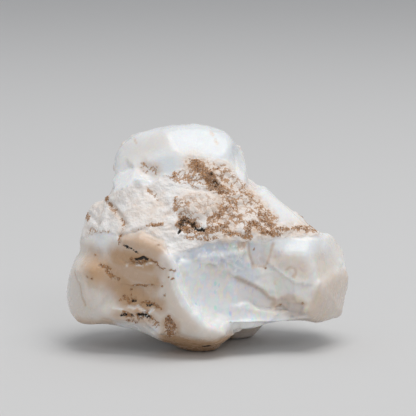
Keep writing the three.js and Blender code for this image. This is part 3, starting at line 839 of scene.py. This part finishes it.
LEFT_FACE = [(-26.4, 15.4), (-23.0, 15.2), (-22.4, 12.0), (-24.0, 10.4), (-26.2, 10.2)]
face(LEFT_FACE, 0.8, turn=(-0.1, 0, 0.1), share=0.6)
push(-0.30 * stroke([(-28.8, 17.4), (-27.6, 15.2), (-26.9, 12.7), (-26.4, 10.9)], 0.05, 0.4))
colour_in("dust", 0.75 * stroke([(-28.8, 17.4), (-27.6, 15.2), (-26.9, 12.7), (-26.4, 10.9)], 0.0, 0.35))
push(0.22 * stroke([(-27.9, 17.6), (-26.7, 15.2), (-26.0, 12.7)], 0.3, 0.8))
push(-0.35 * stroke([(-30.2, 20.4), (-28.0, 21.2), (-24.0, 21.4)], 0.3, 1.6))
colour_in("cream_and_shade", 0.85 * patch([
    (-31.0, 24.0), (-24.0, 24.0), (-22.0, 14.0), (-19.0, 9.0), (-22.0, 5.0), (-31.0, 4.0),
], 3.0))
colour_in("play", 0.30 * patch([(-27.0, 16.0), (-18.0, 16.0), (-18.0, 9.0), (-27.0, 9.0)], 3.0))
colour_in("play", 0.30 * patch([(-13.0, 20.0), (-7.0, 20.0), (-6.0, 12.0), (-12.0, 12.0)], 3.0))
colour_in("cool", 0.4 * patch([(-14.3, 8.8), (-12.8, 9.4), (-9.4, 6.3), (-12.4, 5.3)], 0.5))

# ---------------------------------------------------------------------------
# Back and underside: unworn breaks, shell-shaped and coarser than in front, with patches of
# the same crust, a little soil in their gaps, and creamy and tan seams.
# ---------------------------------------------------------------------------

look_again()
behind = 1 - ease(-facing[:, 1], -0.35, 0.05)
behind = behind * (1 - 0.7 * ease(rock[:, 2], 44.0, 47.0))
back_near, back_edge, back_pick = crumbs(rock, 9.5, 41)
break_off(back_pick, behind * ease(back_edge, 0.0, 0.06), 0.9)
push(behind * 0.9 * (back_near ** 2 - 0.3))
look_again()
small_near, small_edge, small_pick = crumbs(rock, 4.0, 42)
break_off(small_pick, behind * (back_pick > 0.35) * ease(small_edge, 0.0, 0.08), 0.8)
push(behind * (back_pick > 0.35) * 0.30 * (small_near ** 2 - 0.3))
rung = behind * ease(rough(rock, 11.0, 50), -0.1, 0.3)
push(rung * 0.45 * terraces(rock * (1.0, 1.0, 1.3), 16.0, 58, 2.6))
push((behind - rung) * 0.16 * terraces(rock * (1.2, 1.0, 0.8), 7.0, 59, 2.4))
rib_near = crumbs(rock * (1.0, 1.0, 1.6), 1.6, 43)[0]
push(behind * 0.07 * (rib_near ** 2 - 0.3))

back_crust = behind * ease(rough(rock, 13.0, 44, 4) + 0.3 * waver, 0.05, 0.12)
soil = np.maximum(soil, back_crust * 0.85 * ease(rough(rock, 7.0, 45), -0.1, 0.6))
colour_in("dust", back_crust * ease(rough(rock, 7.0, 45), -0.4, 0.5))
push(back_crust * (0.15 + 0.60 * (chunk_pick - 0.4) * ease(chunk_edge, 0.0, 0.3)))
push(back_crust * (0.20 * ease(crumb_edge, 0.0, 0.4) * (0.3 + crumb_pick) - 0.10))
colour_in("crust", back_crust)
colour_in("heap", heap)
colour_in("amber_and_shade", 0.5 * behind * ease(rough(rock, 12.0, 46), 0.1, 0.9))
colour_in("cream_and_shade", 0.7 * behind * ease(rough(rock, 15.0, 47), -0.2, 0.4))
colour_in("cool", 0.5 * behind * ease(rough(rock, 9.0, 48), 0.2, 0.6))
colour_in("amber_and_shade", 0.45 * (1 - ease(rock[:, 2], 2.0, 7.0)) * ease(rock[:, 1], -6.0, 0.0))
colour_in("play", 0.5 * behind * ease(rough(rock, 10.0, 49), 0.1, 0.5))
colour_in("soil", soil)

rock = relax(rock, 1, 0.35)
rock[:, 2] = np.maximum(rock[:, 2], 0.0)
look_again()
skin.vertices.foreach_set("co", (rock * MM).ravel())
skin.update()
skin.shade_smooth()
for name, mark in paint.items():
    layer = skin.attributes.new(name, "FLOAT", "POINT")
    layer.data.foreach_set("value", np.clip(mark, 0, 1.2).astype(np.float32))

# ---------------------------------------------------------------------------
# The stone's material: milky, slightly see-through opal, glossy where it broke, with matt
# crust, brown soil, painted shade in its cavities and painted highlights on its edges laid over it where the
# carving left its marks.
# ---------------------------------------------------------------------------


def wire(tree, value, socket):
    """Feeds a socket from another node, or sets it to a number or colour."""
    if isinstance(value, bpy.types.NodeSocket):
        tree.links.new(value, socket)
    elif isinstance(value, tuple) and len(socket.default_value) == 4:
        socket.default_value = (*value, 1)
    else:
        socket.default_value = value


def add(tree, kind, inputs=None, **settings):
    node = tree.nodes.new(kind)
    for key, value in settings.items():
        setattr(node, key, value)
    for key, value in (inputs or {}).items():
        wire(tree, value, node.inputs[key])
    return node


def reckon(tree, operation, a, b=0.0, clamp=False):
    return add(tree, "ShaderNodeMath", {0: a, 1: b}, operation=operation, use_clamp=clamp).outputs[0]


def mix(tree, share, under, over, kind="MIX"):
    node = add(tree, "ShaderNodeMix", data_type="RGBA", blend_type=kind)
    wire(tree, share, node.inputs["Factor"])
    wire(tree, under, [socket for socket in node.inputs if socket.name == "A" and socket.type == "RGBA"][0])
    wire(tree, over, [socket for socket in node.inputs if socket.name == "B" and socket.type == "RGBA"][0])
    return [socket for socket in node.outputs if socket.type == "RGBA"][0]


def spread(tree, value, start, end, least=0.0, most=1.0):
    limits = {"Value": value, "From Min": start, "From Max": end, "To Min": least, "To Max": most}
    return add(tree, "ShaderNodeMapRange", limits, interpolation_type="SMOOTHSTEP").outputs["Result"]


def painted(tree, name):
    return add(tree, "ShaderNodeAttribute", attribute_name=name).outputs["Fac"]


def in_millimetres(tree, stretch=(1, 1, 1)):
    place = add(tree, "ShaderNodeTexCoord").outputs["Object"]
    scale = tuple(axis / MM for axis in stretch)
    node = add(tree, "ShaderNodeVectorMath", {0: place}, operation="MULTIPLY")
    node.inputs[1].default_value = scale
    return node.outputs[0]


def clouds(tree, place, size, detail=3.0):
    return add(tree, "ShaderNodeTexNoise", {"Vector": place, "Scale": 1 / size, "Detail": detail})


def opal_material():
    material = bpy.data.materials.new("opal_rough")
    material.use_nodes = True
    tree = material.node_tree
    shader = tree.nodes["Principled BSDF"].inputs
    place = in_millimetres(tree)
    broad = clouds(tree, place, 8.0).outputs[0]
    middling = clouds(tree, place, 2.0, 4.0).outputs[0]
    fine = clouds(tree, place, 0.55, 4.0).outputs[0]
    finest = clouds(tree, place, 0.22, 3.0).outputs[0]

    # Milky body, with cream, blue-grey, peach and amber parts; the cream, blue-grey and amber also lay
    # painted shade in recesses and on faces turned from the light, and the bluish frost lays painted shade on
    # the tops facing the lamp.
    colour = mix(tree, spread(tree, broad, 0.35, 0.65), (0.85, 0.865, 0.88), (0.87, 0.85, 0.82))
    cream_and_shade = reckon(tree, "MULTIPLY", painted(tree, "cream_and_shade"), 0.75)
    colour = mix(tree, cream_and_shade, colour, (0.735, 0.655, 0.575))
    cool = reckon(tree, "MULTIPLY", painted(tree, "cool"), 0.7)
    colour = mix(tree, cool, colour, (0.60, 0.635, 0.70))
    colour = mix(tree, reckon(tree, "MULTIPLY", painted(tree, "milk"), 0.8), colour, (0.925, 0.93, 0.935))
    frost_and_shade = reckon(tree, "MULTIPLY", painted(tree, "frost_and_shade"), 0.9)
    colour = mix(tree, frost_and_shade, colour, (0.755, 0.785, 0.805))
    warm = reckon(tree, "MULTIPLY", painted(tree, "warm"), 0.6)
    colour = mix(tree, warm, colour, (0.84, 0.72, 0.64))
    amber_and_shade = reckon(tree, "MULTIPLY", painted(tree, "amber_and_shade"), spread(tree, broad, 0.3, 0.7, 0.90, 1.04))
    colour = mix(tree, amber_and_shade, colour, (0.545, 0.350, 0.205))

    # Play of colour: soft pastel clouds, and a few small clear flecks.
    play = painted(tree, "play")
    rainbow = [(0.00, (0.66, 1.00, 0.86)), (0.22, (0.70, 0.86, 1.00)), (0.40, (0.86, 0.80, 1.00)),
               (0.55, (1.00, 0.84, 0.86)), (0.70, (1.00, 0.90, 0.74)), (0.84, (0.97, 1.00, 0.70)),
               (1.00, (0.70, 1.00, 0.82))]
    streaked = in_millimetres(tree, (1.0, 1.0, 0.55))
    hue = clouds(tree, streaked, 1.5, 2.0).outputs[0]
    hue = spread(tree, hue, 0.3, 0.7)
    tint = add(tree, "ShaderNodeValToRGB", {0: hue})
    ramp = tint.color_ramp
    while len(ramp.elements) < len(rainbow):
        ramp.elements.new(0.5)
    for element, (where, shade) in zip(ramp.elements, rainbow):
        element.position = where
        element.color = (*shade, 1)
    soft_share = reckon(tree, "MULTIPLY", play, spread(tree, middling, 0.35, 0.65, 0.08, 0.46))
    colour = mix(tree, soft_share, colour, tint.outputs[0], "MULTIPLY")
    flecks = add(tree, "ShaderNodeTexVoronoi", {"Vector": streaked, "Scale": 1 / 0.8})
    parts = add(tree, "ShaderNodeSeparateColor", {0: flecks.outputs["Color"]})
    vivid = add(tree, "ShaderNodeHueSaturation", {"Saturation": 1.7, "Color": tint.outputs[0]})
    clear = reckon(tree, "MULTIPLY", spread(tree, parts.outputs[0], 0.86, 0.90), play)
    clear = reckon(tree, "MULTIPLY", clear, spread(tree, flecks.outputs["Distance"], 0.5, 0.25))
    colour = mix(tree, reckon(tree, "MULTIPLY", clear, 0.45), colour, vivid.outputs[0], "MULTIPLY")

    # Painted highlight: white on edges, flakes and glints.
    painted_highlight = reckon(tree, "MULTIPLY", painted(tree, "painted_highlight"), 0.85)
    colour = mix(tree, painted_highlight, colour, (0.93, 0.93, 0.92))

    # Crust over it: pinkish, chalky on its crumbs, and lighter on the tops of its crumbs as painted
    # highlight.
    crust = painted(tree, "crust")
    rind = mix(tree, spread(tree, middling, 0.35, 0.65), (0.89, 0.845, 0.805), (0.81, 0.735, 0.68))
    rind = mix(tree, spread(tree, painted(tree, "heap"), 0.35, 0.9, 0.0, 0.7), rind, (0.90, 0.875, 0.85))
    rind = mix(tree, reckon(tree, "MULTIPLY", painted(tree, "chalk"), 0.8), rind, (0.90, 0.885, 0.87))
    colour = mix(tree, reckon(tree, "MULTIPLY", crust, 0.88), colour, rind)

    dust = reckon(tree, "MULTIPLY", painted(tree, "dust"), spread(tree, fine, 0.3, 0.7, 0.35, 0.85))
    colour = mix(tree, dust, colour, (0.68, 0.440, 0.262))

    # Soil fills the low places first, so its level is set against the height of the crumbs.
    level = painted(tree, "soil")
    curl = reckon(tree, "SUBTRACT", clouds(tree, place, 1.0, 3.0).outputs[0], 0.5)
    curl = reckon(tree, "ABSOLUTE", curl)
    grit = reckon(tree, "MULTIPLY", spread(tree, curl, 0.0, 0.13), 0.36)
    grit = reckon(tree, "ADD", grit, reckon(tree, "MULTIPLY", spread(tree, finest, 0.35, 0.65), 0.16))
    height = reckon(tree, "MULTIPLY", painted(tree, "heap"), 0.5)
    height = reckon(tree, "ADD", height, grit)
    filled = reckon(tree, "ADD", reckon(tree, "MULTIPLY", level, 0.52), 0.23)
    over = reckon(tree, "SUBTRACT", filled, height)
    soil = reckon(tree, "MULTIPLY", spread(tree, over, -0.05, 0.06), spread(tree, level, 0.05, 0.2))
    earth = mix(tree, spread(tree, finest, 0.35, 0.65), (0.29, 0.122, 0.036), (0.61, 0.312, 0.125))
    earth = mix(tree, spread(tree, over, 0.15, 0.4), earth, (0.20, 0.095, 0.04))
    cover = spread(tree, finest, 0.3, 0.7, 0.62, 0.96)
    colour = mix(tree, reckon(tree, "MULTIPLY", soil, cover), colour, earth)
    ragged = reckon(tree, "MULTIPLY", reckon(tree, "SUBTRACT", fine, 0.5), 1.2)
    ragged = reckon(tree, "ADD", ragged, reckon(tree, "MULTIPLY", reckon(tree, "SUBTRACT", finest, 0.5), 1.4))
    # Near-black in the cavities and cracks: painted shade.
    hole = spread(tree, reckon(tree, "ADD", painted(tree, "dark"), ragged), 0.42, 0.62)
    hole = reckon(tree, "MULTIPLY", hole, spread(tree, painted(tree, "dark"), 0.1, 0.3))
    colour = mix(tree, hole, colour, (0.020, 0.015, 0.011))
    wire(tree, colour, shader["Base Color"])

    matt = reckon(tree, "MAXIMUM", reckon(tree, "MULTIPLY", crust, 0.85), soil)
    gloss = spread(tree, middling, 0.3, 0.7, 0.17, 0.32)
    roughness = reckon(tree, "ADD", gloss, reckon(tree, "MULTIPLY", matt, 0.5), True)
    wire(tree, roughness, shader["Roughness"])
    glow = reckon(tree, "MULTIPLY", reckon(tree, "SUBTRACT", 1.0, matt), 0.40)
    wire(tree, glow, shader["Subsurface Weight"])
    shader["Subsurface Radius"].default_value = (1.0, 0.72, 0.5)
    shader["Subsurface Scale"].default_value = 1.1 * MM
    shader["IOR"].default_value = 1.45

    pores = add(tree, "ShaderNodeTexVoronoi", {"Vector": place, "Scale": 1 / 0.5}).outputs["Distance"]
    relief = reckon(tree, "ADD", reckon(tree, "MULTIPLY", fine, 1.0), reckon(tree, "MULTIPLY", pores, 0.7))
    relief = reckon(tree, "ADD", relief, reckon(tree, "MULTIPLY", finest, 0.4))
    relief = reckon(tree, "MULTIPLY", relief, reckon(tree, "ADD", reckon(tree, "MULTIPLY", matt, 0.68), 0.07))
    bump = add(tree, "ShaderNodeBump", {"Height": relief, "Strength": 0.7, "Distance": 0.28 * MM})
    wire(tree, bump.outputs["Normal"], shader["Normal"])
    return material


stone = bpy.data.objects.new("opal_stone", skin)
bpy.context.scene.collection.objects.link(stone)
skin.materials.clear()
skin.materials.append(opal_material())
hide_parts("rough_opal")
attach(stone, "root")

# ---------------------------------------------------------------------------
# Soil grains: loose grains of brown soil and a few pale crumbs of opal, stuck where the soil
# lies thickest. They are one joined mesh.
# ---------------------------------------------------------------------------

GRAINS = 2300
GRAIN_RADIUS = (0.07, 0.17)
dice = np.random.default_rng(7)
chance = ease(soil, 0.20, 1.0) ** 1.5 * (dark < 0.2) * (0.25 + 0.75 * (rock[:, 1] < 0))
seats = dice.choice(count, GRAINS, replace=False, p=chance / chance.sum())


def grain_shape():
    pattern = bmesh.new()
    bmesh.ops.create_icosphere(pattern, subdivisions=1, radius=1.0)
    points = np.array([vertex.co for vertex in pattern.verts])
    faces = np.array([[vertex.index for vertex in side.verts] for side in pattern.faces])
    pattern.free()
    return points, faces


def soil_grains():
    ball, sides = grain_shape()
    size = dice.uniform(*GRAIN_RADIUS, (GRAINS, 1, 1)) * dice.uniform(0.6, 1.2, (GRAINS, 1, 3))
    knobs = 1 + 0.30 * (dice.random((GRAINS, len(ball), 1)) - 0.5)
    middle = rock[seats] + 0.35 * size.min(axis=2) * facing[seats]
    points = middle[:, None, :] + ball[None] * knobs * size
    joined = sides[None] + len(ball) * np.arange(GRAINS)[:, None, None]
    mesh = bpy.data.meshes.new("soil_grains")
    mesh.from_pydata((points.reshape(-1, 3) * MM).tolist(), [], joined.reshape(-1, 3).tolist())
    shade = mesh.attributes.new("shade", "FLOAT", "POINT")
    shade.data.foreach_set("value", np.repeat(dice.random(GRAINS), len(ball)).astype(np.float32))
    mesh.shade_smooth()
    return mesh


def soil_material():
    material = bpy.data.materials.new("brown_soil")
    material.use_nodes = True
    tree = material.node_tree
    shader = tree.nodes["Principled BSDF"].inputs
    shade = painted(tree, "shade")
    fine = clouds(tree, in_millimetres(tree), 0.2).outputs[0]
    colour = mix(tree, spread(tree, shade, 0.1, 0.6), (0.27, 0.122, 0.046), (0.59, 0.325, 0.155))
    colour = mix(tree, spread(tree, shade, 0.72, 0.76), colour, (0.72, 0.60, 0.50))
    colour = mix(tree, spread(tree, fine, 0.4, 0.7, 0.0, 0.4), colour, (0.20, 0.12, 0.07))
    wire(tree, colour, shader["Base Color"])
    wire(tree, spread(tree, fine, 0.3, 0.7, 0.8, 0.98), shader["Roughness"])
    bump = add(tree, "ShaderNodeBump", {"Height": fine, "Strength": 0.5, "Distance": 0.05 * MM})
    wire(tree, bump.outputs["Normal"], shader["Normal"])
    return material


grains = bpy.data.objects.new("soil_grains", soil_grains())
bpy.context.scene.collection.objects.link(grains)
grains.data.materials.append(soil_material())
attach(grains, "root")
